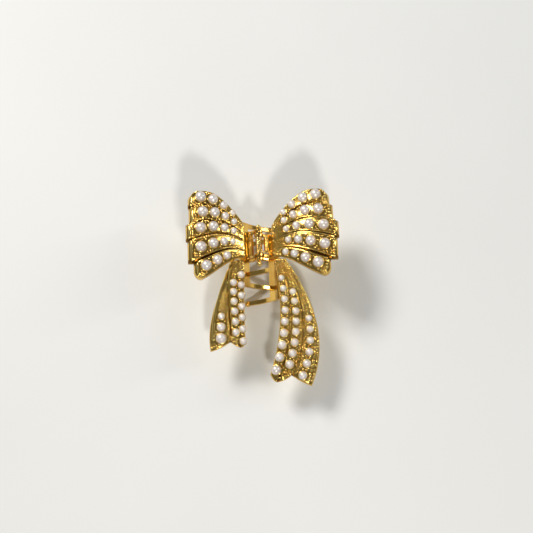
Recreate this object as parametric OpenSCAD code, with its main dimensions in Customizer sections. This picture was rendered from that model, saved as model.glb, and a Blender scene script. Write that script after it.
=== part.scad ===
// Bow hair claw: two spring-loaded claw halves, each carrying a pleated bow loop and a ribbon tail
// set with pearls. Millimetres, +Z up, origin at the middle of the footprint on the surface that
// the claw tips stand on. +Y runs along the hinge pin, towards the top of the bow.

/* [Hinge] */
// Diameter of the hinge pin
pin_d = 1.2; // [1:0.1:1.6]
// Radial clearance between the pin and each ear
pin_fit = 0.05; // [0.02:0.01:0.1]
// Diameter of the ears that the pin runs through
ear_d = 3.4; // [3:0.1:4.5]
// Thickness of an ear and its arm along the pin
ear_w = 1.3; // [1:0.1:2]
// Gap between the two ears that lie side by side
ear_gap = 0.2; // [0.1:0.05:0.5]
// Diameter of the ball at each end of the pin
pin_ball_d = 1.9; // [1.6:0.1:3]

/* [Spring] */
// Wire diameter of the torsion spring
wire_d = 0.62; // [0.4:0.02:0.8]
// Least gap between two turns; it sets how many turns fit in the room
turn_gap = 0.1; // [0.05:0.05:0.6]
// Length of the room for the spring between the inner ears
spring_room = 6.6; // [5:0.1:8.4]
// Length of each spring leg, from the pin outwards
leg_reach = 4.9; // [4.1:0.1:5.3]

/* [Claws] */
// Radius of the shoulder that turns each claw downwards
shoulder_r = 4.8; // [4.4:0.1:6]
// Sideways distance from the pin to the shoulder's centre
shoulder_x = 2.6; // [2.4:0.1:3.4]
// Distance of the shoulder's centre below the pin
shoulder_drop = 6.8; // [6.4:0.1:8]
// Radius of the long curve of a prong
prong_r = 30; // [24:1:40]
// How far a prong reaches past the middle when the claw is closed
prong_cross = 5; // [3:0.1:6]
// Width of a prong
prong_w = 1.85; // [1.4:0.05:2.2]
// Thickness of a prong
prong_t = 1.4; // [1.1:0.05:2]
// Distance between two prongs of the same claw
prong_pitch = 12; // [10:0.1:14]
// Prongs on each claw
prong_count = 3; // [2:1:3]
// Place along the pin of the right claw's first prong
prong_first = 5.2; // [4:0.1:7]
// Diameter of the ball at the tip of a prong
tip_ball_d = 2.4; // [2.4:0.05:2.9]
// Depth of the small polished flat under each tip
tip_flat = 0.1; // [0.05:0.01:0.2]
// Distance of the spine's lower edge from the middle, where the prongs begin
spine_edge = 4.3; // [3.5:0.1:5.5]
// Thickness of the shoulder that the arms and the prongs join
shoulder_t = 1.8; // [1.7:0.1:2.4]
// How far the shoulder plate reaches past the outer ears, along the pin
shoulder_margin = 0.9; // [0.6:0.1:2]
// Thickness of the arms between the ears and the shoulder
arm_t = 1.7; // [1.3:0.1:2.2]

/* [Bow loops] */
// Outer reach of the left loop's five pleats, from the pin
left_reach = [26.9, 26.6, 27.9, 27.3, 25.2];
// Outer reach of the right loop's five pleats, from the pin
right_reach = [27.8, 29.0, 30.9, 30.2, 27.3];
// Height of the left loop's top edge above the pin's middle
left_rise = 21.2; // [17:0.1:26]
// Height of the right loop's top edge above the pin's middle
right_rise = 20.6; // [17:0.1:25]
// Depth of the loops' bottom edge below the pin's middle
loop_drop = 13.4; // [11:0.1:16.2]
// Distance of the loops' inner edge from the pin
loop_root = 5.2; // [4.5:0.1:6]
// Height of the loops' crest above the pin
loop_lift = 6.2; // [3:0.1:9]
// How much lower the loops' long edges are than their middle
loop_crown = 2.2; // [0:0.1:3]
// Corner radius at the outer ends of the loops
loop_corner = 2.7; // [2:0.1:4]
// Arch of one pleat between its two edges
pleat_arch = 0.45; // [0:0.05:0.8]

/* [Ribbon tails] */
// Depth of the left tail's end below the pin's middle
left_tail_end = 39.6; // [33:0.1:48]
// Depth of the right tail's end below the pin's middle
right_tail_end = 54; // [45:0.1:65]
// Height of a tail where it leaves the bow, from the pin
tail_start_z = -1; // [-1.3:0.1:-0.7]
// How far the left tail's end hangs below its start
left_tail_fall = 5; // [2:0.1:8]
// How far the right tail's end hangs below its start
right_tail_fall = 6.5; // [2:0.1:8]

/* [Shells and pearls] */
// Wall thickness of the loops and tails
shell_t = 1.3; // [1.1:0.05:1.8]
// Extra depth of the rim round the outer end of a loop
rim_extra = 1.2; // [0:0.1:2]
// Depth of the seat that each pearl is glued in
seat_depth = 0.5; // [0.3:0.05:0.8]
// Clearance between a pearl and its seat
seat_fit = 0.04; // [0.02:0.01:0.1]
// Pearl diameters along a loop's pleat, from the knot outwards
loop_pearls = [2.5, 3.1, 3.8, 4.0];
// Share of a pearl's radius by which its centre stands above the shell
pearl_lift = 0.35; // [0.2:0.05:0.5]

/* [Hidden] */
LEFT = 0;
RIGHT = 1;
gold = "gold";
pearl_white = "ivory";
eps = 0.01;
seat_sides = 12;
wire_sides = 8;
$fn = 48;

// The ears: the right claw's pair lies against the spring, the left claw's pair outside it.
inner_ear_y = spring_room / 2 + ear_w / 2;
outer_ear_y = inner_ear_y + ear_w + ear_gap;
ear_y = [outer_ear_y, inner_ear_y];
shoulder_half = outer_ear_y + ear_w / 2 + shoulder_margin;
pin_end_y = outer_ear_y + ear_w / 2 + ear_gap + pin_ball_d / 2;

// The shoulder arc, and the prong arc that leaves it without a kink.
shoulder_top = 36;
spine_top = -5;
shoulder_end = -33;
shoulder_c = [shoulder_x, -shoulder_drop];
prong_c = shoulder_c - (prong_r - shoulder_r) * [cos(shoulder_end), sin(shoulder_end)];
tip_angle = -acos((-prong_cross - prong_c.x) / prong_r);
spine_angle = -acos((spine_edge - prong_c.x) / prong_r);
tip_z = prong_c.y + prong_r * sin(tip_angle);
arm_end = shoulder_c + shoulder_r * [cos(shoulder_top), sin(shoulder_top)];
arm_angle = atan2(arm_end.y, arm_end.x);
arm_lap = 0.6;
arm_l = norm(arm_end) + arm_lap;
spine_t = (shoulder_t + prong_t) / 2;
plate_lap = 2;
plate_step = 0.06;
first_prong = [prong_first + prong_pitch / 2, prong_first];

// The spring round the pin, and the web that its legs press on.
coil_gap = 0.2;
coil_r = pin_d / 2 + coil_gap + wire_d / 2;
coil_l = spring_room - 2 * coil_gap - wire_d;
spring_turns = floor(coil_l / (wire_d + turn_gap) - 0.5) + 0.5;
coil_steps = 12;
lean = arm_angle + 90;
leg_fit = 0.05;
web_top = coil_r - wire_d / 2 - leg_fit;
web_start = 2.5;
web_t = 1.2;
web_notch = [1.9, 1.1];

// A loop's outline is drawn for a height of 1 from the knot (0) to its outer end (1).
top_edge = [0.39, 0.86, 1.13, 0.96];
bottom_edge = [-0.34, -0.26, -0.89, -1];
pleat_edges = [0, 0.18, 0.38, 0.57, 0.82, 1];
loop_gather = 0.25;
loop_height_curve = [-0.16, 0.55, 1.35, 0.97];
loop_stations = [0.22, 0.373, 0.557, 0.762];
pearl_shift = [[0, -0.4, -0.5, 0, -0.1], [0, -0.2, 0.1, 0.8, 0.3]];
rise = [left_rise, right_rise];
reach = [left_reach, right_reach];

// A tail's two edges and two folds, each a curve from the knot to the end: [outwards, share of the way].
tail_lines = [
    [
        [[5.9, 0], [6.3, 0.286], [6.5, 0.609], [6.4, 0.914]],
        [[7.9, 0], [9.3, 0.286], [8.6, 0.609], [8.5, 0.965]],
        [[9.6, 0], [15.2, 0.194], [10.6, 0.551], [12.2, 0.902]],
        [[11.3, 0], [13.4, 0.252], [22.0, 0.609], [20.0, 1]]
    ],
    [
        [[5.9, 0], [8.2, 0.314], [8.1, 0.58], [2.6, 0.9]],
        [[7.2, 0], [13.2, 0.248], [12.9, 0.602], [5.2, 0.961]],
        [[8.7, 0], [15.0, 0.203], [20.2, 0.607], [10.8, 0.912]],
        [[10.0, 0], [17.4, 0.225], [27.5, 0.591], [18.4, 1]]
    ]
];
// The tails start just above the middle of the outer ears.
tail_root = outer_ear_y - 0.25;
tail_end = [left_tail_end, right_tail_end];
tail_fall = [left_tail_fall, right_tail_fall];
tail_crown = 0.7;
tail_droop = 1.4;
lobe_power = 12;
// Extra depth under the roots of the loops and tails, where they are soldered on.
loop_wedge = [0.3, 5.2, 0.6, 0];
loop_wedge_end = 0.26;
tail_wedge = [2.2, 2.2, 0.3, 0];
tail_wedge_end = 0.16;
lobe_bulge = [[0.7, 0.4, 0.5], [0.8, 0.6, 0.5]];
// Pearls along each tail line: [count, first place, last place, first diameter, last diameter, share across].
tail_pearls = [
    [[7, 0.19, 0.95, 2.7, 2.8, 0.48], [6, 0.31, 0.87, 2.6, 2.8, 0.42], [3, 0.70, 0.92, 2.6, 4.0, 0.45]],
    [[9, 0.18, 0.935, 2.2, 3.7, 0.47], [8, 0.33, 0.89, 2.4, 3.2, 0.44], [6, 0.555, 0.965, 2.5, 3.2, 0.43]]
];

// The footprint's middle and the floor under the tips, in terms of the pin.
pin_x = (max(left_reach) - max(right_reach)) / 2;
pin_y = (right_tail_end - left_rise) / 2;
pin_z = -tip_z + tip_ball_d / 2 - tip_flat;

function curve(p, t) =
    pow(1 - t, 3) * p[0] + 3 * pow(1 - t, 2) * t * p[1] + 3 * (1 - t) * t * t * p[2] + pow(t, 3) * p[3];
function blend(a, b, t) = a + (b - a) * t;
function unit(v) = v / norm(v);

// ---- Where the loops and tails lie: x outwards from the pin, y along it, z up ----

function pleat_of(f) = min(4, len([for (i = [1:4]) if (f > pleat_edges[i]) i]));
function in_pleat(f, i) = (f - pleat_edges[i]) / (pleat_edges[i + 1] - pleat_edges[i]);
function rounding(d) = d < loop_corner
    ? loop_corner - sqrt(pow(loop_corner, 2) - pow(loop_corner - d, 2))
    : 0;
function loop_at(side, s, f) = let(
        i = pleat_of(f),
        g = in_pleat(f, i),
        high = rise[side] * curve(top_edge, s),
        low = loop_drop * curve(bottom_edge, s),
        down = pow(f, 1 + loop_gather * pow(1 - s, 3)),
        from_edge = min(down, 1 - down) * (high - low),
        far = reach[side][i] - rounding(from_edge),
        arch = pleat_arch * (1 - pow(2 * g - 1, 2)) * s
    ) [
        blend(loop_root, far, s),
        blend(high, low, down),
        loop_lift * curve(loop_height_curve, s) - loop_crown * pow(2 * f - 1, 2) * min(1, 2 * s) + arch
    ];
function tail_at(side, s, f) = let(
        i = min(2, floor(f)),
        g = f - i,
        a = curve(tail_lines[side][i], s),
        b = curve(tail_lines[side][i + 1], s),
        bulge = lobe_bulge[side][i] * 4 * g * (1 - g) * pow(s, lobe_power),
        arch = pleat_arch * (1 - pow(2 * g - 1, 2)) * min(1, 2 * s)
    ) [
        blend(a.x, b.x, g),
        -blend(tail_root, tail_end[side], blend(a.y, b.y, g)) - bulge,
        tail_start_z - tail_fall[side] * pow(s, tail_droop) - tail_crown * pow(2 * f / 3 - 1, 2) + arch
    ];
function surface_at(kind, side, s, f) = kind == "loop" ? loop_at(side, s, f) : tail_at(side, s, f);
function surface_normal(kind, side, s, f) = let(
        along = surface_at(kind, side, s + eps, f) - surface_at(kind, side, s - eps, f),
        across = surface_at(kind, side, s, f + eps) - surface_at(kind, side, s, f - eps),
        n = unit(cross(along, across))
    ) n.z < 0 ? -n : n;

function extra_depth(kind, s, f, at_end) = kind == "loop"
    ? curve(loop_wedge, min(1, s / loop_wedge_end)) * (1 - pow(2 * f - 1, 4))
        + (at_end || f <= eps || f >= 1 - eps ? rim_extra * s : 0)
    : curve(tail_wedge, min(1, s / tail_wedge_end));

// ---- Building blocks ----

module in_place() translate([pin_x, pin_y, pin_z]) children();

module on_side(side) mirror([side == LEFT ? 1 : 0, 0, 0]) children();

// A bar of radius r bent about the Y axis from angle a0 to a1, centred on y = 0.
module bent_bar(c, r, t, w, a0, a1) {
    translate([c.x, 0, c.y]) rotate([90, 0, 0]) rotate([0, 0, a0])
        rotate_extrude(angle = a1 - a0, $fn = 96)
            translate([r - t / 2, -w / 2]) square([t, w]);
}

module along_y(d, w) rotate([90, 0, 0]) cylinder(d = d, h = w, center = true);

// A thin shell over a surface: a grid of points on top, and the same grid lower down.
module shell(kind, side, stations, across) {
    rows = len(stations);
    cols = len(across);
    top = [for (s = stations, f = across) surface_at(kind, side, s, f)];
    under = [for (i = [0:rows - 1], j = [0:cols - 1])
        top[i * cols + j] - [0, 0, shell_t + extra_depth(kind, stations[i], across[j], i == rows - 1)]];
    n = rows * cols;
    function at(i, j) = i * cols + j;
    sheet = [for (i = [0:rows - 2], j = [0:cols - 2])
        each [[at(i, j), at(i + 1, j), at(i + 1, j + 1)], [at(i, j), at(i + 1, j + 1), at(i, j + 1)]]];
    border = concat(
        [for (j = [0:cols - 2]) at(0, j)], [for (i = [0:rows - 2]) at(i, cols - 1)],
        [for (j = [cols - 1:-1:1]) at(rows - 1, j)], [for (i = [rows - 1:-1:1]) at(i, 0)]);
    m = len(border);
    sides = [for (k = [0:m - 1])
        each [[border[k], border[(k + 1) % m], border[(k + 1) % m] + n],
              [border[k], border[(k + 1) % m] + n, border[k] + n]]];
    lower = [for (t = sheet) [t[2] + n, t[1] + n, t[0] + n]];
    polyhedron(points = concat(top, under), faces = concat(sheet, lower, sides), convexity = 6);
}

// Moves its children so that z = 0 lies on a surface, with +Z along its normal.
module on_surface(kind, side, s, f) {
    n = surface_normal(kind, side, s, f);
    translate(surface_at(kind, side, s, f)) rotate([0, acos(n.z), atan2(n.y, n.x)]) children();
}

// A pearl with a flat back, glued into its seat.
module pearl(d) {
    lift = pearl_lift * d / 2;
    difference() {
        translate([0, 0, lift]) sphere(d = d);
        translate([0, 0, -seat_depth - d]) cube([2 * d, 2 * d, 2 * d], center = true);
    }
}

// The tapered hollow that a pearl sits in.
module seat(d) {
    r = d / 2;
    grow = seat_fit + r * (1 / cos(180 / seat_sides) - 1);
    function level_r(z) = sqrt(r * r - pow(z - pearl_lift * r, 2)) + grow;
    hull() {
        translate([0, 0, -seat_depth]) cylinder(r = level_r(-seat_depth), h = eps, $fn = seat_sides);
        cylinder(r = level_r(0), h = eps, $fn = seat_sides);
        translate([0, 0, r * pearl_lift]) cylinder(r = r + grow, h = r, $fn = seat_sides);
    }
}

// ---- The claw halves ----

// The arms' line from the pin to the shoulder, x along it.
module along_arm() rotate([0, -arm_angle, 0]) children();

module ear_and_arm(y) {
    translate([0, y, 0]) {
        along_y(ear_d, ear_w);
        along_arm() translate([0, -ear_w / 2, -arm_t / 2]) cube([arm_l, ear_w, arm_t]);
    }
}

// The plate between the arms, flush with their tops but for the room under the spring's legs.
// Beside each lower ear it has a notch.
module web(side) {
    half_y = ear_y[side] - ear_w / 2;
    along_arm() difference() {
        translate([web_start, -half_y, web_top - web_t])
            cube([arm_l - web_start, 2 * half_y, web_t]);
        translate([web_start - eps, -half_y - eps, web_top - 2 * web_t])
            cube([web_notch.x, web_notch.y, 3 * web_t]);
    }
}

module prong() {
    difference() {
        union() {
            bent_bar(prong_c, prong_r, prong_t, prong_w, tip_angle, spine_angle + plate_lap);
            translate([-prong_cross, 0, tip_z]) sphere(d = tip_ball_d);
        }
        translate([-prong_cross, 0, -pin_z - tip_ball_d / 2]) cube([2, 2, 1] * tip_ball_d, center = true);
    }
}

// The bent plate from the arms down to the spine. It is narrower above spine_top.
module shoulder(y0, y1) {
    cut = [4 * shoulder_r, y0 - y1, 4 * shoulder_r];
    spine_z = shoulder_c.y + shoulder_r * sin(spine_top);
    difference() {
        translate([0, (y0 + y1) / 2, 0])
            bent_bar(shoulder_c, shoulder_r, shoulder_t, y0 - y1, shoulder_end, shoulder_top);
        translate([0, shoulder_half, spine_z]) cube(cut);
        translate([0, -shoulder_half - cut.y, spine_z]) cube(cut);
    }
}

// The spine: the plate that carries the prongs, down to where they part.
module spine(y0, y1) {
    translate([0, (y0 + y1) / 2, 0])
        bent_bar(prong_c, prong_r, spine_t, y0 - y1, spine_angle, shoulder_end + plate_lap);
}

module claw_frame(side) {
    y0 = first_prong[side] + prong_w / 2;
    y1 = y0 - (prong_count - 1) * prong_pitch - prong_w;
    color(gold) in_place() on_side(side) difference() {
        union() {
            for (y = [-1, 1] * ear_y[side]) ear_and_arm(y);
            web(side);
            shoulder(y0 + 2 * plate_step, y1 - 2 * plate_step);
            spine(y0 + plate_step, y1 - plate_step);
            for (k = [0:prong_count - 1]) translate([0, first_prong[side] - k * prong_pitch, 0]) prong();
        }
        along_y(pin_d + 2 * pin_fit, 3 * pin_end_y);
    }
}

// ---- The hinge ----

module hinge_pin() {
    color(gold) in_place() {
        translate([0, (pin_ball_d / 4) / 2, 0]) along_y(pin_d, 2 * pin_end_y - pin_ball_d / 4);
        translate([0, -pin_end_y, 0]) sphere(d = pin_ball_d);
    }
}

module pin_cap() {
    color(gold) in_place() difference() {
        translate([0, pin_end_y, 0]) sphere(d = pin_ball_d);
        translate([0, pin_end_y - pin_ball_d / 2, 0]) along_y(pin_d, pin_ball_d);
    }
}

// The wire's centre line: a leg, the turns and the other leg.
function wire_line() = let(
        turn_angle = 360 * spring_turns + (180 - 2 * lean) - 180,
        half_y = coil_l / 2,
        steps = ceil(coil_steps * spring_turns),
        right_dir = [sin(lean), 0, -cos(lean)],
        turns = [for (k = [0:steps]) let(a = lean + k * turn_angle / steps)
            [coil_r * cos(a), -half_y + 2 * half_y * k / steps, coil_r * sin(a)]],
        left_dir = [-right_dir.x, 0, right_dir.z]
    ) concat([turns[0] + leg_reach * right_dir], turns, [turns[steps] + leg_reach * left_dir]);

// A round wire swept along a line of points.
module wire(line, d) {
    n = len(line);
    function dir(i) = unit(line[min(n - 1, i + 1)] - line[max(0, i - 1)]);
    rings = [for (i = [0:n - 1]) let(
            t = dir(i),
            u = unit(cross(t, abs(t.y) > 0.9 ? [1, 0, 0] : [0, 1, 0])),
            v = cross(u, t)
        ) each [for (k = [0:wire_sides - 1]) let(a = 360 * k / wire_sides)
            line[i] + d / 2 * (u * cos(a) + v * sin(a))]];
    skin = [for (i = [0:n - 2], k = [0:wire_sides - 1]) let(
            a = i * wire_sides + k,
            b = i * wire_sides + (k + 1) % wire_sides
        ) each [[a, b, b + wire_sides], [a, b + wire_sides, a + wire_sides]]];
    ends = [
        [for (k = [wire_sides - 1:-1:0]) k],
        [for (k = [0:wire_sides - 1]) (n - 1) * wire_sides + k]
    ];
    polyhedron(points = rings, faces = concat(skin, ends), convexity = 10);
}

module torsion_spring() {
    color("goldenrod") in_place() wire(wire_line(), wire_d);
}

// ---- The bow ----

loop_rows = [for (i = [0:12]) i / 12];
loop_cols = [for (i = [0:4], g = [eps, 0.3, 0.7, 1 - eps]) blend(pleat_edges[i], pleat_edges[i + 1], g)];
tail_rows = [for (i = [0:16]) i / 16];
// A tail runs the other way along the pin, so its columns run inwards to keep its faces outwards.
tail_cols = [for (i = [2:-1:0], g = [1 - eps, 0.75, 0.5, 0.25, eps]) i + g];

function pleat_middle(i) = (pleat_edges[i] + pleat_edges[i + 1]) / 2;
function pearl_station(side, i, k) = loop_stations[k] + pearl_shift[side][i] / (reach[side][i] - loop_root);
// The left loop's last pleat is short, so its first pearl is left out.
function first_pearl(side, i) = side == LEFT && i == 4 ? 1 : 0;

module each_loop_pearl(side, i) {
    for (k = [first_pearl(side, i):len(loop_pearls) - 1]) {
        on_surface("loop", side, pearl_station(side, i, k), pleat_middle(i)) {
            $d = loop_pearls[k];
            children();
        }
    }
}

module each_tail_pearl(side, i) {
    p = tail_pearls[side][i];
    for (k = [0:p[0] - 1]) {
        along = k / (p[0] - 1);
        on_surface("tail", side, blend(p[1], p[2], along), i + p[5]) {
            $d = blend(p[3], p[4], along);
            children();
        }
    }
}

// What a loop or a tail is soldered to: the shoulder, and the plate and arms as one block.
// The shoulder is solid here, so that nothing is left on its hollow side.
module solder_cut(side) {
    half_y = ear_y[side] + ear_w / 2;
    top = max(arm_t / 2, web_top);
    outer_r = shoulder_r + shoulder_t / 2;
    bent_bar(shoulder_c, outer_r / 2, outer_r, 2 * shoulder_half, shoulder_end, shoulder_top);
    along_arm() translate([0, -half_y, -arm_t / 2]) cube([arm_l, 2 * half_y, arm_t / 2 + top]);
    for (y = [-1, 1] * ear_y[side]) translate([0, y, 0]) along_y(ear_d, ear_w);
}

module loop(side) {
    color(gold) in_place() on_side(side) difference() {
        shell("loop", side, loop_rows, loop_cols);
        for (i = [0:4]) each_loop_pearl(side, i) seat($d);
        solder_cut(side);
    }
}

module tail(side) {
    color(gold) in_place() on_side(side) difference() {
        shell("tail", side, tail_rows, tail_cols);
        for (i = [0:2]) each_tail_pearl(side, i) seat($d);
        solder_cut(side);
    }
}

module loop_pearl_row(side, i) color(pearl_white) in_place() on_side(side) each_loop_pearl(side, i) pearl($d);

module tail_pearl_row(side, i) color(pearl_white) in_place() on_side(side) each_tail_pearl(side, i) pearl($d);

claw_frame(LEFT);  // left_claw_frame
claw_frame(RIGHT);  // right_claw_frame
hinge_pin();
pin_cap();
torsion_spring();
loop(LEFT);  // left_loop
loop(RIGHT);  // right_loop
tail(LEFT);  // left_tail
tail(RIGHT);  // right_tail
loop_pearl_row(LEFT, 0);  // left_loop_pearls_1
loop_pearl_row(LEFT, 1);  // left_loop_pearls_2
loop_pearl_row(LEFT, 2);  // left_loop_pearls_3
loop_pearl_row(LEFT, 3);  // left_loop_pearls_4
loop_pearl_row(LEFT, 4);  // left_loop_pearls_5
loop_pearl_row(RIGHT, 0);  // right_loop_pearls_1
loop_pearl_row(RIGHT, 1);  // right_loop_pearls_2
loop_pearl_row(RIGHT, 2);  // right_loop_pearls_3
loop_pearl_row(RIGHT, 3);  // right_loop_pearls_4
loop_pearl_row(RIGHT, 4);  // right_loop_pearls_5
tail_pearl_row(LEFT, 0);  // left_tail_pearls_inner
tail_pearl_row(LEFT, 1);  // left_tail_pearls_middle
tail_pearl_row(LEFT, 2);  // left_tail_pearls_outer
tail_pearl_row(RIGHT, 0);  // right_tail_pearls_inner
tail_pearl_row(RIGHT, 1);  // right_tail_pearls_middle
tail_pearl_row(RIGHT, 2);  // right_tail_pearls_outer
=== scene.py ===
import math
import random

import bmesh
import bpy
import numpy as np
from mathutils import Matrix, Vector
from mathutils.kdtree import KDTree

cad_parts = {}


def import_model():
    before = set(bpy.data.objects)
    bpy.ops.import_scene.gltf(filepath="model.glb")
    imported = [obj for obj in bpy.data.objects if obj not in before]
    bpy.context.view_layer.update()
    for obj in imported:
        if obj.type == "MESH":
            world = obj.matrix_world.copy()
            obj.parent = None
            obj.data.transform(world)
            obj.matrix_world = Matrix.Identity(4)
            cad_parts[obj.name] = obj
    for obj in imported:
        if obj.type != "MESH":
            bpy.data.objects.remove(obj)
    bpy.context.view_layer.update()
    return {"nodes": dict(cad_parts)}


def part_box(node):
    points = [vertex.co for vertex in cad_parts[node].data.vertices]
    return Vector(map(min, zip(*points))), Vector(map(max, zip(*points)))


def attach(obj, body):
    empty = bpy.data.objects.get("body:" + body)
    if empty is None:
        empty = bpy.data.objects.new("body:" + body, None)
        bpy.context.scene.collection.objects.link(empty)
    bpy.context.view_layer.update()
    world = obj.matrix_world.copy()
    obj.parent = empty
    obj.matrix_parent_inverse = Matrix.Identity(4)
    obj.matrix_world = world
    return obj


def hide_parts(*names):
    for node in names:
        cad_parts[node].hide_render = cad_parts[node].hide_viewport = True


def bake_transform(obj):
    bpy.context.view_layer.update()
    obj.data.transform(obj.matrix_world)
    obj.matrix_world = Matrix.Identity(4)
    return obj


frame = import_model()
random.seed(7)

# All shapes are worked out in millimetres from the pin's middle: x outwards, y along it, z up.
MM = 0.001
_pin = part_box("hinge_pin")
_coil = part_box("torsion_spring")
PIN = np.array([
    (_pin[0].x + _pin[1].x) / 2, (_coil[0].y + _coil[1].y) / 2, (_pin[0].z + _pin[1].z) / 2])
SIDES = ("left", "right")
OUTWARDS = {"left": -1, "right": 1}


def world(p, side="right"):
    """Points in millimetres from the pin, as metres in the frame."""
    p = np.asarray(p, float).reshape(-1, 3) * [OUTWARDS[side], 1, 1]
    return PIN + p * MM


def from_pin(p, side):
    return (np.asarray(p, float) - PIN) / MM * [OUTWARDS[side], 1, 1]


# ---- Materials ----

# How far each point of the worked gold stands out, which sets its painted shade: 0 in a hollow, darkest,
# 1 on a crest, unshaded.
CREST = "crest"
# Multipliers for the painted shade, from a dark brown in a hollow to no change on a crest.
HOLLOW_SHADE_STOPS = [(0.0, (0.20, 0.11, 0.04)), (0.35, (0.72, 0.62, 0.5)), (0.8, (1, 1, 1))]
# Painted shade for the plain top of the sheet, and for its walls and underside.
SHEET_CREST, WALL_CREST = 0.4, 0.75
# Noise scales, in cycles a metre: drift of tone, unevenness of polish, and ripple of the surface.
TONE_SCALE, POLISH_SCALE, RIPPLE_SCALE = 220, 900, 1100
PEARL_TONE_SCALE, PEARL_RIPPLE_SCALE = 330, 1500
# Heights that the bump nodes stand for, in metres.
GOLD_RIPPLE, PEARL_RIPPLE = 0.00006, 0.00003


def material(name):
    mat = bpy.data.materials.new(name)
    mat.use_nodes = True
    tree = mat.node_tree
    return mat, tree, tree.nodes["Principled BSDF"]


def noise(tree, scale, detail):
    place = tree.nodes.new("ShaderNodeTexCoord")
    node = tree.nodes.new("ShaderNodeTexNoise")
    node.inputs["Scale"].default_value = scale
    node.inputs["Detail"].default_value = detail
    tree.links.new(place.outputs["Object"], node.inputs["Vector"])
    return node


def ramp(tree, source, stops):
    node = tree.nodes.new("ShaderNodeValToRGB")
    node.color_ramp.elements[0].position = stops[0][0]
    node.color_ramp.elements[0].color = (*stops[0][1], 1)
    node.color_ramp.elements[1].position = stops[-1][0]
    node.color_ramp.elements[1].color = (*stops[-1][1], 1)
    for at, colour in stops[1:-1]:
        node.color_ramp.elements.new(at).color = (*colour, 1)
    tree.links.new(source, node.inputs["Fac"])
    return node


def bump(tree, bsdf, source, strength, distance):
    node = tree.nodes.new("ShaderNodeBump")
    node.inputs["Strength"].default_value = strength
    node.inputs["Distance"].default_value = distance
    tree.links.new(source, node.inputs["Height"])
    tree.links.new(node.outputs["Normal"], bsdf.inputs["Normal"])


def multiply(tree, a, b):
    node = tree.nodes.new("ShaderNodeMix")
    node.data_type = "RGBA"
    node.blend_type = "MULTIPLY"
    node.inputs["Factor"].default_value = 1.0
    tree.links.new(a, node.inputs["A"])
    tree.links.new(b, node.inputs["B"])
    return node.outputs["Result"]


def gold(name, light, deep, rough, ripple, worked=False):
    """Plated gold: its tone drifts a little, and its polish is uneven from casting and tumbling.
    Worked gold has painted shade: it is darker in its hollows and grooves, and full tone on its crests."""
    mat, tree, bsdf = material(name)
    bsdf.inputs["Metallic"].default_value = 1.0
    tone = ramp(tree, noise(tree, TONE_SCALE, 3).outputs["Fac"], [(0.3, deep), (0.7, light)])
    tone = tone.outputs["Color"]
    if worked:
        # Painted shade: the crest attribute darkens the tone, most of all in the hollows.
        crest = tree.nodes.new("ShaderNodeAttribute")
        crest.attribute_name = CREST
        hollow = ramp(tree, crest.outputs["Fac"], HOLLOW_SHADE_STOPS)
        tone = multiply(tree, tone, hollow.outputs["Color"])
    tree.links.new(tone, bsdf.inputs["Base Color"])
    polish = tree.nodes.new("ShaderNodeMapRange")
    polish.inputs["To Min"].default_value = rough[0]
    polish.inputs["To Max"].default_value = rough[1]
    tree.links.new(noise(tree, POLISH_SCALE, 4).outputs["Fac"], polish.inputs["Value"])
    tree.links.new(polish.outputs["Result"], bsdf.inputs["Roughness"])
    bump(tree, bsdf, noise(tree, RIPPLE_SCALE, 2).outputs["Fac"], ripple, GOLD_RIPPLE)
    return mat


def pearl_material():
    """Imitation pearl: warm white lacquer under a glossy coat, with painted shade and sheen by the angle
    of view: rose-grey away from the middle, a brighter warm rim.
    """
    mat, tree, bsdf = material("pearl_lacquer")
    # Painted shade and sheen: the colour turns rose-grey away from the middle and bright warm at the
    # rim, by the angle of view.
    facing = tree.nodes.new("ShaderNodeLayerWeight")
    facing.inputs["Blend"].default_value = 0.35
    body = ramp(tree, facing.outputs["Facing"], [
        (0.0, (0.92, 0.86, 0.80)), (0.4, (0.80, 0.70, 0.63)), (1.0, (0.95, 0.84, 0.66))])
    drift = ramp(tree, noise(tree, PEARL_TONE_SCALE, 2).outputs["Fac"], [
        (0.35, (1.0, 0.95, 0.93)), (0.65, (0.95, 0.97, 1.0))])
    colour = multiply(tree, body.outputs["Color"], drift.outputs["Color"])
    tree.links.new(colour, bsdf.inputs["Base Color"])
    bsdf.inputs["Metallic"].default_value = 0.4
    bsdf.inputs["Roughness"].default_value = 0.3
    bsdf.inputs["Coat Weight"].default_value = 1.0
    bsdf.inputs["Coat Roughness"].default_value = 0.05
    bsdf.inputs["Coat IOR"].default_value = 1.6
    bump(tree, bsdf, noise(tree, PEARL_RIPPLE_SCALE, 2).outputs["Fac"], 0.12, PEARL_RIPPLE)
    return mat


BOW_GOLD = gold(
    "bow_gold_plate", (1.0, 0.77, 0.26), (0.93, 0.64, 0.16), (0.10, 0.22), 0.35, worked=True)
# The frames' gold is a darker, browner copy of the bow's: painted shade for the frames lying in low
# light under the bow.
FRAME_GOLD = gold("frame_gold_painted_shade", (0.93, 0.62, 0.16), (0.70, 0.40, 0.08), (0.07, 0.17), 0.3)
PIN_GOLD = gold("pin_gold_plate", (1.0, 0.76, 0.27), (0.93, 0.66, 0.19), (0.08, 0.15), 0.1)
WIRE_GOLD = gold("spring_wire_gold", (1.0, 0.79, 0.34), (0.92, 0.67, 0.22), (0.12, 0.2), 0.1)
PEARL = pearl_material()


# ---- Mesh building ----

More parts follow.
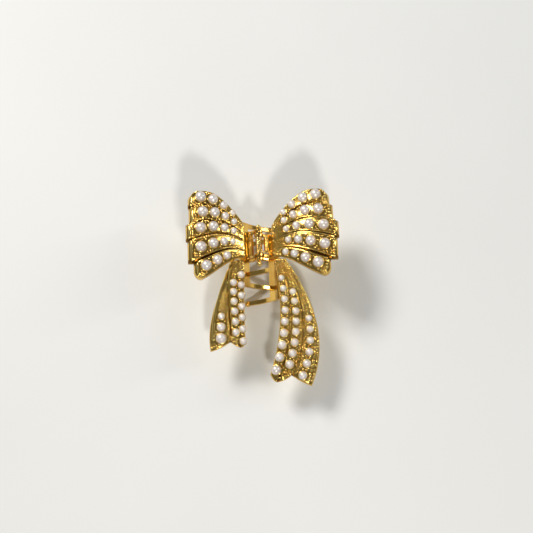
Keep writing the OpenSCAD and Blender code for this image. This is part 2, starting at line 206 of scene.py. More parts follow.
class Build:
    """Collects vertices and faces, and makes one mesh object of them."""

    def __init__(self):
        self.points, self.faces, self.crests, self.count = [], [], [], 0

    def add(self, points, faces, crest=WALL_CREST):
        self.points.append(np.asarray(points, float))
        self.crests.append(np.broadcast_to(crest, len(points)))
        self.faces.append([tuple(i + self.count for i in f) for f in faces])
        self.count += len(points)

    def make(self, name, side, mat, body=None, replaces=()):
        points = world(np.concatenate(self.points), side)
        faces = [f for group in self.faces for f in group]
        if side == "left":
            faces = [f[::-1] for f in faces]
        mesh = bpy.data.meshes.new(name)
        mesh.from_pydata(points.tolist(), [], faces)
        mesh.polygons.foreach_set("use_smooth", [True] * len(mesh.polygons))
        mesh.update()
        crest = mesh.attributes.new(CREST, "FLOAT", "POINT")
        crest.data.foreach_set("value", np.concatenate(self.crests).astype(np.float32))
        return piece(mesh, name, mat, body, replaces)


def piece(mesh, name, mat, body=None, replaces=()):
    """One object of the visual model. Without a body, it is left unattached."""
    obj = bpy.data.objects.new(name, mesh)
    bpy.context.scene.collection.objects.link(obj)
    mesh.materials.clear()
    mesh.materials.append(mat)
    if body:
        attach(obj, body)
    if replaces:
        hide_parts(*replaces)
    return obj


def unit(v):
    return v / np.maximum(np.linalg.norm(v, axis=-1, keepdims=True), 1e-12)


def ball_template(segments, rings):
    points = [(0, 0, 1)]
    for i in range(1, rings):
        a = math.pi * i / rings
        for j in range(segments):
            b = 2 * math.pi * j / segments
            points.append((math.sin(a) * math.cos(b), math.sin(a) * math.sin(b), math.cos(a)))
    points.append((0, 0, -1))
    faces = [(0, 1 + j, 1 + (j + 1) % segments) for j in range(segments)]
    for i in range(rings - 2):
        for j in range(segments):
            a, b = 1 + i * segments + j, 1 + i * segments + (j + 1) % segments
            faces.append((a, a + segments, b + segments, b))
    last, row = len(points) - 1, 1 + (rings - 2) * segments
    faces += [(row + j, last, row + (j + 1) % segments) for j in range(segments)]
    return np.array(points), faces


def axes_for(normal):
    side = unit(np.cross([0.0, 1.0, 0.0], normal))
    return np.stack([side, np.cross(normal, side), normal])


BEAD = ball_template(10, 6)
# A bead's height as a share of its width.
BEAD_RISE = 0.95
BALL = ball_template(36, 20)
# How far a pearl's middle stands above its seat, as a share of its radius.
PEARL_LIFT = 0.35
# Between a pearl and the middle of its bezel's wire, and how high that wire lies.
BEZEL_ROOM = 0.12


def crest_of(height):
    """Painted shade on a rounded form: full tone on top, darker where it sinks into the sheet; height
    runs from 0 to 1.
    """
    return np.clip(height, 0, 1) ** 0.7


def bead(build, at, normal, d, along=None, stretch=1.0):
    points, faces = BEAD
    axes = axes_for(normal)
    if along is not None:
        along = unit(along - normal * np.dot(along, normal))
        axes = np.stack([along, np.cross(normal, along), normal])
    build.add(at + (points * [stretch, 1, BEAD_RISE] * d / 2) @ axes, faces, crest_of(points[:, 2]))


def ring(build, at, normal, radius, tube, segments=30, sides=8):
    """A bezel round a pearl's seat: a ring of rounded wire that is partly sunk in the sheet."""
    a = np.linspace(0, 2 * math.pi, segments, endpoint=False)[:, None]
    b = np.linspace(0, 2 * math.pi, sides, endpoint=False)[None, :]
    r = radius + tube * np.cos(b)
    points = np.stack([
        r * np.cos(a), r * np.sin(a), BEZEL_ROOM + tube * 1.2 * np.sin(b) + 0 * a], -1).reshape(-1, 3)
    faces = []
    for i in range(segments):
        for j in range(sides):
            k, m = (i + 1) % segments, (j + 1) % sides
            faces.append((i * sides + j, k * sides + j, k * sides + m, i * sides + m))
    build.add(at + points @ axes_for(normal), faces, crest_of((np.sin(b) + 0 * a).ravel()))


def rib(build, path, normals, width, height, sides=10, taper=3):
    """A rounded bar that follows a path, half sunk in the surface."""
    n = len(path)
    tangent = unit(np.gradient(path, axis=0))
    across = unit(np.cross(tangent, normals))
    up = np.cross(across, tangent)
    ends = np.minimum(np.arange(n), np.arange(n)[::-1]) / taper
    size = np.sqrt(1 - (1 - np.clip(ends, 0.08, 1)) ** 2)[:, None, None]
    a = np.linspace(0, 2 * math.pi, sides, endpoint=False)[None, :, None]
    rings = path[:, None] + size * (
        across[:, None] * np.cos(a) * width / 2 + up[:, None] * np.sin(a) * height)
    faces = []
    for i in range(n - 1):
        for j in range(sides):
            k = (j + 1) % sides
            faces.append((i * sides + j, i * sides + k, (i + 1) * sides + k, (i + 1) * sides + j))
    faces.append(tuple(reversed(range(sides))))
    faces.append(tuple((n - 1) * sides + j for j in range(sides)))
    build.add(rings.reshape(-1, 3), faces, np.tile(crest_of(np.sin(a)).ravel(), n))


# ---- The bow's surfaces, with the same sizes as the CAD model ----

REACH = {
    "left": np.array([26.9, 26.6, 27.9, 27.3, 25.2]),
    "right": np.array([27.8, 29.0, 30.9, 30.2, 27.3])}
RISE = {"left": 21.2, "right": 20.6}
LOOP_DROP, LOOP_ROOT, LOOP_LIFT, LOOP_CROWN, LOOP_CORNER = 13.4, 5.2, 6.2, 2.2, 2.7
PLEAT_ARCH, LOOP_GATHER = 0.45, 0.25
TOP_EDGE, BOTTOM_EDGE = (0.39, 0.86, 1.13, 0.96), (-0.34, -0.26, -0.89, -1)
HEIGHT_CURVE = (-0.16, 0.55, 1.35, 0.97)
PLEATS = np.array([0, 0.18, 0.38, 0.57, 0.82, 1])
SHELL_T, RIM_EXTRA, SEAT_DEPTH = 1.3, 1.2, 0.5
TAIL_END = {"left": 39.6, "right": 54.0}
TAIL_FALL = {"left": 5.0, "right": 6.5}
TAIL_ROOT, TAIL_START_Z, TAIL_CROWN, TAIL_DROOP, LOBE_POWER = 5.2, -1.0, 0.7, 1.4, 12
LOBES = {"left": (0.7, 0.4, 0.5), "right": (0.8, 0.6, 0.5)}
TAIL_LINES = {
    "left": [
        [(5.9, 0), (6.3, 0.286), (6.5, 0.609), (6.4, 0.914)],
        [(7.9, 0), (9.3, 0.286), (8.6, 0.609), (8.5, 0.965)],
        [(9.6, 0), (15.2, 0.194), (10.6, 0.551), (12.2, 0.902)],
        [(11.3, 0), (13.4, 0.252), (22.0, 0.609), (20.0, 1)]],
    "right": [
        [(5.9, 0), (8.2, 0.314), (8.1, 0.58), (2.6, 0.9)],
        [(7.2, 0), (13.2, 0.248), (12.9, 0.602), (5.2, 0.961)],
        [(8.7, 0), (15.0, 0.203), (20.2, 0.607), (10.8, 0.912)],
        [(10.0, 0), (17.4, 0.225), (27.5, 0.591), (18.4, 1)]],
}
LOOP_WEDGE, LOOP_WEDGE_END = (0.3, 5.2, 0.6, 0), 0.26
TAIL_WEDGE, TAIL_WEDGE_END = (2.2, 2.2, 0.3, 0), 0.16
EPS = 0.001


# What the casting has and the CAD shell leaves out: grooves along the folds and rounded edges.
GROOVE_W, GROOVE_DEPTH = 0.26, 0.5
# Each rounded edge: how wide it is, and how far it falls.
LOOP_END_ROLL, LOOP_SIDE_ROLL = (1.6, 1.7), (0.7, 0.5)
TAIL_OUTER_ROLL, TAIL_INNER_ROLL, TAIL_END_ROLL = (0.9, 0.8), (0.4, 0.3), (0.7, 0.6)
# Further from an edge than any of them reaches.
NO_EDGE = 9


def curve(p, t):
    """A Bezier curve with four points."""
    u = 1 - t
    return u ** 3 * p[0] + 3 * u ** 2 * t * p[1] + 3 * u * t * t * p[2] + t ** 3 * p[3]


def groove(d):
    """A rounded channel along a fold, d away from its middle."""
    return GROOVE_DEPTH * np.exp(-(d / GROOVE_W) ** 2)


def roll_off(d, width, depth):
    """How far a rounded edge has fallen, d from its end."""
    u = np.clip((width - d) / width, 0, 1)
    return depth * (1 - np.sqrt(1 - u * u * 0.998))


def loop_fold_gap(f, height):
    """Distance from the nearest fold between two pleats."""
    return np.min(np.abs(f[..., None] - PLEATS[1:-1]), -1) * height


def loop_at(side, s, f, relief=True):
    """The loop's top surface: s runs outwards, f down across the pleats, both from 0 to 1."""
    s, f = np.broadcast_arrays(np.asarray(s, float), np.asarray(f, float))
    i = np.clip(np.searchsorted(PLEATS[1:-1], f, side="left"), 0, 4)
    g = (f - PLEATS[i]) / (PLEATS[i + 1] - PLEATS[i])
    high, low = RISE[side] * curve(TOP_EDGE, s), LOOP_DROP * curve(BOTTOM_EDGE, s)
    down = np.clip(f, 0, 1) ** (1 + LOOP_GATHER * (1 - s) ** 3)
    edge = np.minimum(down, 1 - down) * (high - low)
    c = np.clip(LOOP_CORNER - edge, 0, LOOP_CORNER)
    far = REACH[side][i] - (LOOP_CORNER - np.sqrt(LOOP_CORNER ** 2 - c ** 2))
    z = (LOOP_LIFT * curve(HEIGHT_CURVE, s) - LOOP_CROWN * (2 * f - 1) ** 2 * np.minimum(1, 2 * s)
         + PLEAT_ARCH * (1 - (2 * g - 1) ** 2) * s)
    if relief:
        z = z - roll_off((1 - s) * (far - LOOP_ROOT), *LOOP_END_ROLL) - roll_off(edge, *LOOP_SIDE_ROLL)
        z = z - groove(loop_fold_gap(f, high - low)) * np.minimum(1, 3 * s)
    return np.stack([LOOP_ROOT + (far - LOOP_ROOT) * s, high + (low - high) * down, z], -1)


def tail_at(side, s, f, relief=True):
    """The tail's top surface: s runs to its end, f across its three pleats, from 0 to 3."""
    s, f = np.broadcast_arrays(np.asarray(s, float), np.asarray(f, float))
    i = np.clip(np.floor(f).astype(int), 0, 2)
    g = f - i
    lines = np.array(TAIL_LINES[side])
    a = [curve(lines[i, :, k].transpose(-1, *range(i.ndim)), s) for k in (0, 1)]
    b = [curve(lines[i + 1, :, k].transpose(-1, *range(i.ndim)), s) for k in (0, 1)]
    share = a[1] + (b[1] - a[1]) * g
    bulge = np.array(LOBES[side])[i] * 4 * g * (1 - g) * s ** LOBE_POWER
    x = a[0] + (b[0] - a[0]) * g
    y = -(TAIL_ROOT + (TAIL_END[side] - TAIL_ROOT) * share) - bulge
    z = (TAIL_START_Z - TAIL_FALL[side] * np.maximum(s, 0) ** TAIL_DROOP
         - TAIL_CROWN * (2 * f / 3 - 1) ** 2
         + PLEAT_ARCH * (1 - (2 * g - 1) ** 2) * np.minimum(1, 2 * s))
    if relief:
        width = np.abs(b[0] - a[0]) + 0.3
        outer = np.where(i == 2, (1 - g) * width, NO_EDGE)
        inner = np.where(i == 0, g * width, NO_EDGE)
        z = z - roll_off(outer, *TAIL_OUTER_ROLL) - roll_off(inner, *TAIL_INNER_ROLL)
        z = z - roll_off((1 - s) * TAIL_END[side], *TAIL_END_ROLL)
        z = z - groove(np.minimum(np.abs(f - 1), np.abs(f - 2)) * width)
    return np.stack([x, y, z], -1)


SURFACE = {"loop": loop_at, "tail": tail_at}
TOP_F = {"loop": 1.0, "tail": 3.0}


def normal_at(kind, side, s, f):
    at = SURFACE[kind]
    along = at(side, s + EPS, f, False) - at(side, s - EPS, f, False)
    across = at(side, s, f + EPS, False) - at(side, s, f - EPS, False)
    n = unit(np.cross(along, across))
    return np.where(n[..., 2:] < 0, -n, n)


def extra_depth(kind, s, f, last):
    """What the underside lies deeper than the sheet: the root's wedge and the loop's rim."""
    if kind == "loop":
        rim = last | (f <= 2 * EPS) | (f >= 1 - 2 * EPS)
        return (curve(LOOP_WEDGE, np.minimum(1, s / LOOP_WEDGE_END)) * (1 - (2 * f - 1) ** 4)
                + np.where(rim, RIM_EXTRA * s, 0))
    return curve(TAIL_WEDGE, np.minimum(1, s / TAIL_WEDGE_END))


FOLDS = {"loop": PLEATS[1:-1], "tail": np.array([1.0, 2.0])}
# How near to a fold, in f, a sunk point is in its groove and not on a rolled edge, and so gets the
# groove's painted shade.
FOLD_REACH = {"loop": 0.03, "tail": 0.15}


def near_fold(kind, f):
    return np.min(np.abs(f[..., None] - FOLDS[kind]), -1) < FOLD_REACH[kind]


def shell(build, kind, side, rows, cols):
    """The pleated sheet: a top surface, an underside and the walls between them."""
    s, f = np.meshgrid(rows, cols, indexing="ij")
    top = SURFACE[kind](side, s, f)
    last = np.zeros_like(s, bool)
    last[-1] = True
    flat = SURFACE[kind](side, s, f, False)
    under = flat.copy()
    under[..., 2] -= SHELL_T + extra_depth(kind, s, f, last)
    nr, nc = s.shape
    n = nr * nc
    at = np.arange(n).reshape(nr, nc)
    sheet = np.stack([at[:-1, :-1], at[1:, :-1], at[1:, 1:], at[:-1, 1:]], -1).reshape(-1, 4)
    border = np.concatenate([at[0, :-1], at[:-1, -1], at[-1, :0:-1], at[:0:-1, 0]])
    after = np.roll(border, -1)
    walls = np.stack([border, after, after + n, border + n], -1)
    faces = ([tuple(q) for q in sheet.tolist()] + [tuple(q[::-1]) for q in (sheet + n).tolist()]
             + [tuple(q) for q in walls.tolist()])
    # Painted shade: the sheet darkens as it sinks into a fold's groove; the walls and underside get the
    # walls' painted shade.
    sunk = np.clip((flat - top)[..., 2] / GROOVE_DEPTH, 0, 1)
    crest = np.where(near_fold(kind, f), SHEET_CREST * (1 - sunk), SHEET_CREST)
    build.add(np.concatenate([top.reshape(-1, 3), under.reshape(-1, 3)]), faces,
              np.concatenate([crest.ravel(), np.full(n, WALL_CREST)]))


def even_steps(kind, side, s, f, pitch, samples=160):
    """Places (s, f) along a line on the surface, evenly spaced in millimetres."""
    t, own = np.linspace(0, 1, samples), np.linspace(0, 1, len(s))
    s, f = np.interp(t, own, s), np.interp(t, own, f)
    line = SURFACE[kind](side, s, f)
    run = np.concatenate([[0], np.cumsum(np.linalg.norm(np.diff(line, axis=0), axis=1))])
    count = max(2, int(round(run[-1] / pitch)) + 1)
    want = np.linspace(0, run[-1], count)
    return np.interp(want, run, s), np.interp(want, run, f)


# The length of one step along a rib.
RIB_PITCH = 0.35
DRAW = np.random.default_rng(11)
# Share of a bead's diameter that it keeps clear of its neighbours.
FILL_ROOM = 0.46
# The same for a bead in a row, next to a pearl's bezel.
SEAT_ROOM = 0.22


class Relief:
    """The raised work on one shell: ribs and beads, and where they are, so that the fill avoids them."""

    def __init__(self, kind, side, build):
        self.kind, self.side, self.build = kind, side, build
        self.taken, self.seats = [], []

    def keep_clear(self, points, radius):
        self.taken += [(p, radius) for p in np.asarray(points).reshape(-1, 3)]

    def add_rib(self, s, f, width, height, sink=0.0):
        s, f = even_steps(self.kind, self.side, s, f, RIB_PITCH)
        path = SURFACE[self.kind](self.side, s, f)
        n = normal_at(self.kind, self.side, s, f)
        rib(self.build, path - n * sink, n, width, height)
        self.keep_clear(path, width / 2)

    def add_beads(self, s, f, d, pitch, stretch=1.0):
        s, f = even_steps(self.kind, self.side, s, f, pitch)
        at = SURFACE[self.kind](self.side, s, f)
        n = normal_at(self.kind, self.side, s, f)
        placed = []
        for p, q, along in zip(at, n, np.gradient(at, axis=0)):
            if any(math.hypot(*(p - seat)[:2]) < r + d * SEAT_ROOM for seat, r in self.seats):
                continue
            bead(self.build, p, q, d * random.uniform(0.92, 1.08), along, stretch)
            placed.append(p)
        self.keep_clear(placed, d / 2)

    def fill(self, sizes, allowed, tries=5000):
        """Beads of falling sizes, put wherever there is still room between the rest."""
        spots = np.array([p[:2] for p, _ in self.taken])
        radii = np.array([r for _, r in self.taken])
        for d in sizes:
            s, f = DRAW.random(tries), DRAW.random(tries) * TOP_F[self.kind]
            at = SURFACE[self.kind](self.side, s, f)
            n = normal_at(self.kind, self.side, s, f)
            for k in range(tries):
                if not allowed(s[k], f[k]):
                    continue
                if np.any(np.hypot(*(spots - at[k, :2]).T) < radii + d * FILL_ROOM):
                    continue
                bead(self.build, at[k], n[k], d)
                spots, radii = np.vstack([spots, at[k, :2]]), np.append(radii, d * FILL_ROOM)


# ---- Pearls, placed where the CAD pearls are ----

def islands(obj):
    """Each separate ball of a CAD node: its middle and radius, in metres."""
    bm = bmesh.new()
    bm.from_mesh(obj.data)
    bmesh.ops.remove_doubles(bm, verts=bm.verts, dist=WELD)
    bm.verts.ensure_lookup_table()
    seen, found = set(), []
    for v in bm.verts:
        if v.index in seen:
            continue
        seen.add(v.index)
        group, queue = [], [v]
        while queue:
            w = queue.pop()
            group.append(w.co.copy())
            for e in w.link_edges:
                o = e.other_vert(w)
                if o.index not in seen:
                    seen.add(o.index)
                    queue.append(o)
        p = np.array(group)
        # The sphere through the points: |p|^2 = 2 p.c + (r^2 - c^2).
        scaled = (p - p.mean(0)) / MM
        a = np.concatenate([2 * scaled, np.ones((len(p), 1))], 1)
        c = np.linalg.lstsq(a, (scaled ** 2).sum(1), rcond=None)[0]
        r = math.sqrt(c[3] + (c[:3] ** 2).sum())
        found.append((p.mean(0) + c[:3] * MM, r))
    bm.free()
    return found


# Vertices of a CAD node nearer than this are one, in metres.
WELD = 2e-6
ROWS = {
    "loop": ["pearls_%d" % i for i in range(1, 6)],
    "tail": ["pearls_inner", "pearls_middle", "pearls_outer"],
}


def find_pearls(kind, side):
    """For each CAD row: the middle of each pearl, its radius, the seat and the direction it faces."""
    s, f = np.meshgrid(
        np.linspace(0.02, 0.99, 260), np.linspace(0.01, TOP_F[kind] - 0.01, 400), indexing="ij")
    s, f = s.ravel(), f.ravel()
    at = SURFACE[kind](side, s, f, False)
    tree = KDTree(len(at))
    for i, p in enumerate(at):
        tree.insert(p, i)
    tree.balance()
    rows = {}
    for name in ROWS[kind]:
        node = "%s_%s_%s" % (side, kind, name)
        rows[node] = []
        for middle, r in islands(frame["nodes"][node]):
            c = from_pin(middle, side)
            _, i, _ = tree.find(c)
            n = normal_at(kind, side, s[i], f[i])
            rows[node].append((c, r, c - n * PEARL_LIFT * r, n))
    return rows


def pearl_rows(side, rows):
    for node, pearls in rows.items():
        build = Build()
        for middle, r, _, n in pearls:
            points, faces = BALL
            local = points * r
            local[:, 2] = np.maximum(local[:, 2], -(SEAT_DEPTH + PEARL_LIFT * r))
            build.add(middle + local @ axes_for(n), faces)
        build.make(node.replace("_pearls", "_lustre"), side, PEARL, side + "_half", (node,))


def bezels(relief, rows, width=0.24):
    for pearls in rows.values():
        for _, r, seat, n in pearls:
            ring(relief.build, seat, n, r + BEZEL_ROOM, width)
            relief.keep_clear([seat], r + BEZEL_ROOM + width)
            relief.seats.append((seat, r + BEZEL_ROOM + width))


# ---- The loops ----

# The folds with a smooth lip on each side; the others are beaded.
SMOOTH_FOLDS = {"left": (3,), "right": (1, 2, 3)}


def loop_height(side, s):
    return RISE[side] * curve(TOP_EDGE, s) - LOOP_DROP * curve(BOTTOM_EDGE, s)


# The columns across one pleat, closer together near its folds.
SPREAD = np.array([
    EPS, 0.03, 0.06, 0.1, 0.16, 0.26, 0.38, 0.5, 0.62, 0.74, 0.84, 0.9, 0.94, 0.97, 1 - EPS])
# The last rows of a loop, as distances from its end in a loop about LOOP_RUN long.
LOOP_END_ROWS, LOOP_RUN = np.array([1.3, 1.0, 0.75, 0.55, 0.38, 0.25, 0.14, 0.06, 0]), 22


def end_share(side, i, d):
    """The place s that lies d from the outer end of a pleat."""
    return 1 - d / (REACH[side][i] - LOOP_ROOT)


def make_loop(side):
    """A bow loop with its lips or beads along the folds, its border, its fill and its pearls."""
    build = Build()
    rows = np.concatenate([np.linspace(0, 0.92, 34), 1 - LOOP_END_ROWS / LOOP_RUN])
    cols = np.concatenate([PLEATS[i] + (PLEATS[i + 1] - PLEATS[i]) * SPREAD for i in range(5)])
    shell(build, "loop", side, rows, cols)
    work = Relief("loop", side, build)
    rows_of = find_pearls("loop", side)
    bezels(work, rows_of)
    t = np.linspace(0.05, 1, 40)
    for i in range(4):
        for lip in (-1, 1):
            s = t * end_share(side, i + (lip > 0), 1.5)
            if i in SMOOTH_FOLDS[side]:
                work.add_rib(s, PLEATS[i + 1] + lip * 0.45 / loop_height(side, s), 0.6, 0.4)
            else:
                work.add_beads(s, PLEATS[i + 1] + lip * 0.62 / loop_height(side, s), 1.0, 1.06)
    for i in range(5):
        share = PLEATS[i + 1] - PLEATS[i]
        inside = np.linspace(0.05, 0.95, 20)
        f = PLEATS[i] + share * inside
        if side == "left":
            work.add_rib(end_share(side, i, 1.75) + 0 * f, f, 0.95, 0.5)
            work.add_beads(end_share(side, i, 2.95) + 0 * f, f, 1.0, 1.1)
        else:
            work.add_beads(end_share(side, i, 1.8) + 0 * f, f, 1.1, 1.15)
    s = t * 0.95
    work.add_rib(s, 0.42 / loop_height(side, s), 0.6, 0.36)
    work.add_beads(s, 1 - 0.65 / loop_height(side, s), 1.05, 1.12)
    work.fill((0.8, 0.7), lambda s, f: 0.02 < s < 0.22 and 0.04 < f < 0.96)
    work.fill((1.05, 0.85, 0.65), lambda s, f: 0.2 <= s < 0.92 and 0.02 < f < 0.98)
    build.make(side + "_bow_loop", side, BOW_GOLD, side + "_half", (side + "_loop",))
    pearl_rows(side, rows_of)


def make_tail(side):
    """A ribbon tail: the left has smooth bands, the right rows of beads."""
    build = Build()
    rows = np.concatenate([np.linspace(0, 0.975, 60), [0.98, 0.985, 0.99, 0.995, 1.0]])
    cols = np.concatenate([i + SPREAD for i in range(3)])
    shell(build, "tail", side, rows, cols)
    work = Relief("tail", side, build)
    rows_of = find_pearls("tail", side)
    bezels(work, rows_of, 0.2)
    t = np.linspace(0.02, 0.97, 60)
    if side == "left":
        work.add_rib(t * 0.8, 1.0 + 0 * t, 0.45, 0.3)
        work.add_rib(0.1 + t * 0.78, 1.86 + 0 * t, 1.1, 0.4)
        work.add_rib(0.12 + t * 0.82, 2.82 + 0 * t, 1.25, 0.4, 0.1)
    else:
        work.add_beads(t * 0.95, 1.0 + 0 * t, 0.85, 1.0)
        work.add_beads(0.05 + t * 0.88, 1.84 + 0 * t, 1.0, 1.1)
        work.add_beads(0.05 + t * 0.88, 2.16 + 0 * t, 1.0, 1.1)
        work.add_beads(t, 2.72 + 0 * t, 1.15, 1.75, 1.45)
    work.add_beads(t, 0.12 + 0 * t, 0.7, 0.8)
    for i in range(3):
        f = i + np.linspace(0.1, 0.9, 12)
        work.add_beads(0.972 + 0 * f, f, 1.0, 1.05)
    work.fill((0.8, 0.65), lambda s, f: 0.01 < s < 0.2 and 0.05 < f < 2.9)
    work.fill((1.0, 0.8, 0.62), lambda s, f: 0.2 <= s < 0.97 and 0.05 < f < 2.9)
    build.make(side + "_bow_tail", side, BOW_GOLD, side + "_half", (side + "_tail",))
    pearl_rows(side, rows_of)


for side in SIDES:
    make_loop(side)
    make_tail(side)


# ---- The claw frames: the CAD shape with its edges rounded by casting and tumbling ----

def soften(node, voxel, rounds):
    """A copy of a CAD node with rounded edges. The work is done at a thousand times its size."""
    bm = bmesh.new()
    bm.from_mesh(frame["nodes"][node].data)
    bmesh.ops.remove_doubles(bm, verts=bm.verts, dist=WELD)
    bmesh.ops.scale(bm, vec=(1 / MM,) * 3, verts=bm.verts)
    mesh = bpy.data.meshes.new(node + "_soft")
    bm.to_mesh(mesh)
    bm.free()
    obj = bpy.data.objects.new(node + "_soft", mesh)
    bpy.context.scene.collection.objects.link(obj)
    grid = obj.modifiers.new("grid", "REMESH")
    grid.mode = "VOXEL"
    grid.voxel_size = voxel
    grid.use_smooth_shade = True
    calm = obj.modifiers.new("calm", "SMOOTH")
    calm.factor = 0.5
    calm.iterations = rounds
    depsgraph = bpy.context.evaluated_depsgraph_get()
    made = bpy.data.meshes.new_from_object(obj.evaluated_get(depsgraph))
    bpy.data.objects.remove(obj)
    bpy.data.meshes.remove(mesh)
    made.transform(Matrix.Scale(MM, 4))
    made.polygons.foreach_set("use_smooth", [True] * len(made.polygons))
    return made


FRAME_VOXEL, FRAME_ROUNDS = 0.14, 6

for side in SIDES:
    node = side + "_claw_frame"
    piece(soften(node, FRAME_VOXEL, FRAME_ROUNDS), side + "_claw_casting", FRAME_GOLD,
          side + "_half", (node,))


# ---- The hinge ----

def lathe(build, profile, segments=40):
    """Turns a profile of (radius, distance along the pin) about the pin."""
    a = np.linspace(0, 2 * math.pi, segments, endpoint=False)
    points, faces = [], []
    for r, y in profile:
        points += [(r * math.cos(b), y, r * math.sin(b)) for b in a]
    for i in range(len(profile) - 1):
        for j in range(segments):
            k = (j + 1) % segments
            row, after = i * segments, (i + 1) * segments
            faces.append((row + j, row + k, after + k, after + j))
    faces.append(tuple(reversed(range(segments))))
    faces.append(tuple((len(profile) - 1) * segments + j for j in range(segments)))
    build.add(np.array(points), faces)


PIN_R, BALL_R = 0.6, 0.95
# How far from the middle of the lower ball the pin's plain shaft starts.
BALL_NECK = 0.85
PIN_END = (_pin[1].y - PIN[1]) / MM


def ball_profile(middle, end=90, steps=14):
    """A ball of the pin, from its pole up to an angle in degrees."""
    angles = [math.radians((end + 90) * i / steps - 90) for i in range(steps + 1)]
    return [(max(0.01, BALL_R * math.cos(a)), middle + BALL_R * math.sin(a)) for a in angles]


def make_pin():
    build = Build()
    low = (_pin[0].y - PIN[1]) / MM + BALL_R
    profile = ball_profile(low, 90 - math.degrees(math.asin(PIN_R / BALL_R)))
    lathe(build, profile + [(PIN_R, low + BALL_NECK), (PIN_R, PIN_END)])
    build.make("hinge_pin_turned", "right", PIN_GOLD, "left_half", ("hinge_pin",))
    cap = Build()
    cap_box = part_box("pin_cap")
    lathe(cap, ball_profile(((cap_box[0].y + cap_box[1].y) / 2 - PIN[1]) / MM))
    cap.make("pin_end_ball", "right", PIN_GOLD, "left_half", ("pin_cap",))


make_pin()

# The spring and what it leans on, as in the CAD model.
WIRE_D, COIL_R, LEG, TURNS, TURN_STEPS = 0.62, 1.11, 4.9, 7.5, 28
SPRING_ROOM, SPRING_PLAY = 6.6, 0.4
COIL_HALF = (SPRING_ROOM - SPRING_PLAY - WIRE_D) / 2
SHOULDER_X, SHOULDER_Z, SHOULDER_R, SHOULDER_END = 2.6, -6.8, 4.8, math.radians(36)
ARM_ANGLE = math.degrees(math.atan2(
    SHOULDER_Z + SHOULDER_R * math.sin(SHOULDER_END), SHOULDER_X + SHOULDER_R * math.cos(SHOULDER_END)))


def make_spring():
    """The wire along its centre line: a leg, the turns and the other leg."""
    lean = ARM_ANGLE + 90
    turn = 360 * TURNS + (180 - 2 * lean) - 180
    steps = int(TURNS * TURN_STEPS)
    coil = []
    for k in range(steps + 1):
        a = math.radians(lean + k * turn / steps)
        coil.append((COIL_R * math.cos(a), -COIL_HALF + 2 * COIL_HALF * k / steps, COIL_R * math.sin(a)))
    tilt = math.radians(lean)
    right = np.array([math.sin(tilt), 0, -math.cos(tilt)])
    left = right * [-1, 1, 1]
    legs = [[np.array(end) + LEG * (1 - t) * d for t in np.linspace(0, 0.97, 9)]
            for end, d in ((coil[0], right), (coil[-1], left))]
    path = np.array(legs[0] + coil + legs[1][::-1])
    tangent = unit(np.gradient(path, axis=0))
    # Carry a normal along the wire without twist.
    n = unit(np.cross(tangent[0], [0, 1, 0]))
    normals = []
    for t in tangent:
        n = unit(n - t * np.dot(n, t))
        normals.append(n)
    build = Build()
    rib(build, path, np.array(normals), WIRE_D, WIRE_D / 2, sides=14, taper=2)
    obj = build.make("torsion_spring_wire", "right", WIRE_GOLD)
    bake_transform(obj)
    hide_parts("torsion_spring")


make_spring()


# ---- Floor, light and camera ----

# Metres, and cycles a metre.
FLOOR_HALF, FLOOR_TONE_SCALE = 3.0, 6


def make_floor():
    mesh = bpy.data.meshes.new("floor")
    half = FLOOR_HALF
    corners = [(-half, -half, 0), (half, -half, 0), (half, half, 0), (-half, half, 0)]
    mesh.from_pydata(corners, [], [(0, 1, 2, 3)])
    obj = bpy.data.objects.new("floor", mesh)
    bpy.context.scene.collection.objects.link(obj)
    mat, tree, bsdf = material("pale_table")
    tone = ramp(tree, noise(tree, FLOOR_TONE_SCALE, 3).outputs["Fac"], [
        (0.3, (0.80, 0.80, 0.78)), (0.7, (0.84, 0.84, 0.82))])
    tree.links.new(tone.outputs["Color"], bsdf.inputs["Base Color"])
    bsdf.inputs["Roughness"].default_value = 0.7
    mesh.materials.append(mat)


def area_light(name, toward, distance, size, power, colour):
    """A rectangular light, a distance in metres from the pin and aimed at it."""
    light = bpy.data.lights.new(name, "AREA")
    light.shape = "RECTANGLE"
    light.size, light.size_y = size
    light.energy = power
    light.color = colour
    obj = bpy.data.objects.new(name, light)
    bpy.context.scene.collection.objects.link(obj)
    direction = Vector(toward).normalized()
    obj.location = Vector(PIN.tolist()) + direction * distance
    obj.rotation_mode = "QUATERNION"
    obj.rotation_quaternion = direction.to_track_quat("Z", "Y")


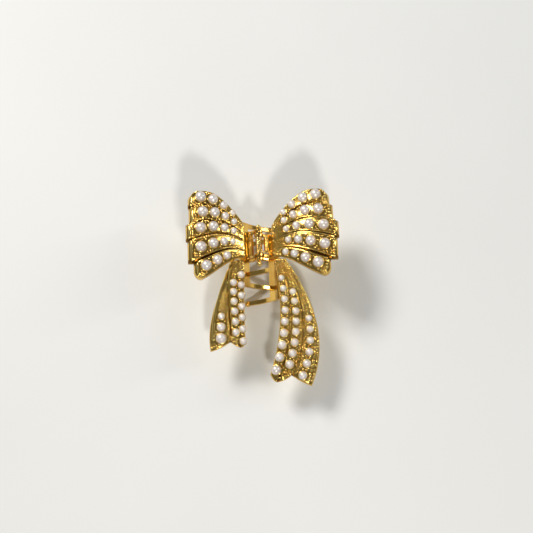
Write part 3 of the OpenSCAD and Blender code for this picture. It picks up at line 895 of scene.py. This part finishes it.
make_floor()
area_light("window", (-0.55, 0.60, 0.80), 0.9, (0.32, 0.22), 6.0, (1.0, 0.985, 0.96))
area_light("lamp", (0.12, -0.75, 0.85), 0.8, (0.09, 0.09), 2.4, (1.0, 0.97, 0.92))
area_light("side_strip", (1.0, 0.25, 0.6), 0.9, (0.08, 0.4), 1.4, (0.95, 0.98, 1.0))

sky = bpy.data.worlds.new("studio")
bpy.context.scene.world = sky
sky.use_nodes = True
sky.node_tree.nodes["Background"].inputs["Color"].default_value = (0.78, 0.80, 0.82, 1)
sky.node_tree.nodes["Background"].inputs["Strength"].default_value = 0.2


# The photograph's view: tilt away from straight down, and the turn and roll of the picture.
CAMERA_TILT, CAMERA_TURN, CAMERA_ROLL = math.radians(13.5), math.radians(4.6), math.radians(-2.3)
# Where the camera is, in millimetres from the pin: back, right and up in its own view.
CAMERA_BACK, CAMERA_RIGHT, CAMERA_UP = 480, 2.97, -8.14
SENSOR_WIDTH, LENS = 36, 84.07


def make_camera():
    tilt, turn, roll = CAMERA_TILT, CAMERA_TURN, CAMERA_ROLL
    back = Vector((-math.sin(tilt) * math.sin(turn), -math.sin(tilt) * math.cos(turn), math.cos(tilt)))
    up = (Vector((0, 1, 0)) - back * back.y).normalized()
    right = up.cross(back)
    up, right = (up * math.cos(roll) - right * math.sin(roll),
                 right * math.cos(roll) + up * math.sin(roll))
    data = bpy.data.cameras.new("camera")
    data.sensor_width = SENSOR_WIDTH
    data.lens = LENS
    data.clip_start, data.clip_end = 0.01, 10
    cam = bpy.data.objects.new("camera", data)
    bpy.context.scene.collection.objects.link(cam)
    offset = back * CAMERA_BACK + right * CAMERA_RIGHT + up * CAMERA_UP
    spot = Vector(PIN.tolist()) + offset * MM
    cam.matrix_world = Matrix((
        (right.x, up.x, back.x, spot.x), (right.y, up.y, back.y, spot.y),
        (right.z, up.z, back.z, spot.z), (0, 0, 0, 1)))
    bpy.context.scene.camera = cam


make_camera()
bpy.context.scene.view_settings.view_transform = "Standard"
